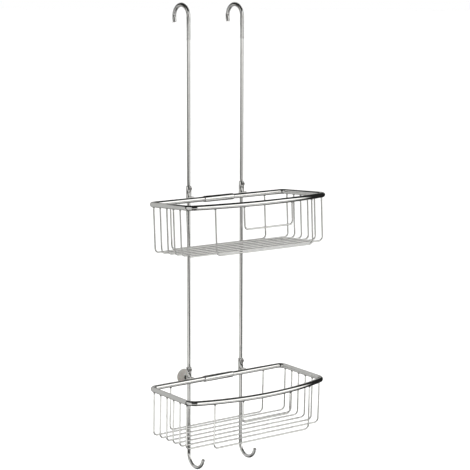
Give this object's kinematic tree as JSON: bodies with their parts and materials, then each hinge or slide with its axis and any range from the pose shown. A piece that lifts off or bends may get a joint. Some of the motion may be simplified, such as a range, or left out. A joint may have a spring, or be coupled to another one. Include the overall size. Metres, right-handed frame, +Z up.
{
  "type": "shower caddy",
  "caption": "Hanging shower caddy: wire baskets with thick tube rims clamped on long hooked rods, with sleeved top hooks and small bottom hooks.",
  "frame": {"origin": "where the caddy hangs: midway between the two top hooks, at the inside of their crowns", "axes": "+Z up along the rods, +Y back towards the panel that it hangs on, +X to the right seen from the front"},
  "size_m": [0.309, 0.2054, 0.8365],
  "materials": {
    "rod_chrome": "polished chrome plate on round steel rod",
    "rim_chrome": "polished chrome plate on bent steel tube",
    "wire_chrome": "bright chrome plate on drawn wire",
    "clamp_chrome": "chrome plate, slightly softer gloss",
    "screw_steel": "darkened steel, turned head",
    "hose_plastic": "clear soft plastic tube, glossy",
    "cup_rubber": "soft translucent grey rubber, satin",
    "stud_plastic": "dark moulded plastic"
  },
  "bodies": {
    "rods": {"left_rod": "rod_chrome", "left_hook_sleeve": "hose_plastic", "right_rod": "rod_chrome", "right_hook_sleeve": "hose_plastic"},
    "upper_basket": {"upper_rim": "rim_chrome", "upper_rim_joiner": "rim_chrome", "upper_wire_1": "wire_chrome", "upper_wire_2": "wire_chrome", "upper_wire_3": "wire_chrome", "upper_wire_4": "wire_chrome", "upper_wire_5": "wire_chrome", "upper_wire_6": "wire_chrome", "upper_wire_7": "wire_chrome", "upper_wire_8": "wire_chrome", "upper_guard_loop": "wire_chrome", "upper_left_clamp": "clamp_chrome", "upper_left_screw": "screw_steel", "upper_right_clamp": "clamp_chrome", "upper_right_screw": "screw_steel"},
    "lower_basket": {"lower_rim": "rim_chrome", "lower_rim_joiner": "rim_chrome", "lower_wire_1": "wire_chrome", "lower_wire_2": "wire_chrome", "lower_wire_3": "wire_chrome", "lower_wire_4": "wire_chrome", "lower_wire_5": "wire_chrome", "lower_wire_6": "wire_chrome", "lower_wire_7": "wire_chrome", "lower_wire_8": "wire_chrome", "lower_guard_loop": "wire_chrome", "lower_left_clamp": "clamp_chrome", "lower_left_screw": "screw_steel", "lower_right_clamp": "clamp_chrome", "lower_right_screw": "screw_steel", "cup_stud": "stud_plastic", "suction_cup": "cup_rubber"}
  },
  "joints": [
    {"name": "upper_basket_slide", "type": "slide", "parent": "rods", "child": "upper_basket", "axis": [0, 0, 1], "range_m": [-0.11, 0.24]},
    {"name": "lower_basket_slide", "type": "slide", "parent": "rods", "child": "lower_basket", "axis": [0, 0, 1], "range_m": [-0.045, 0.11]}
  ]
}
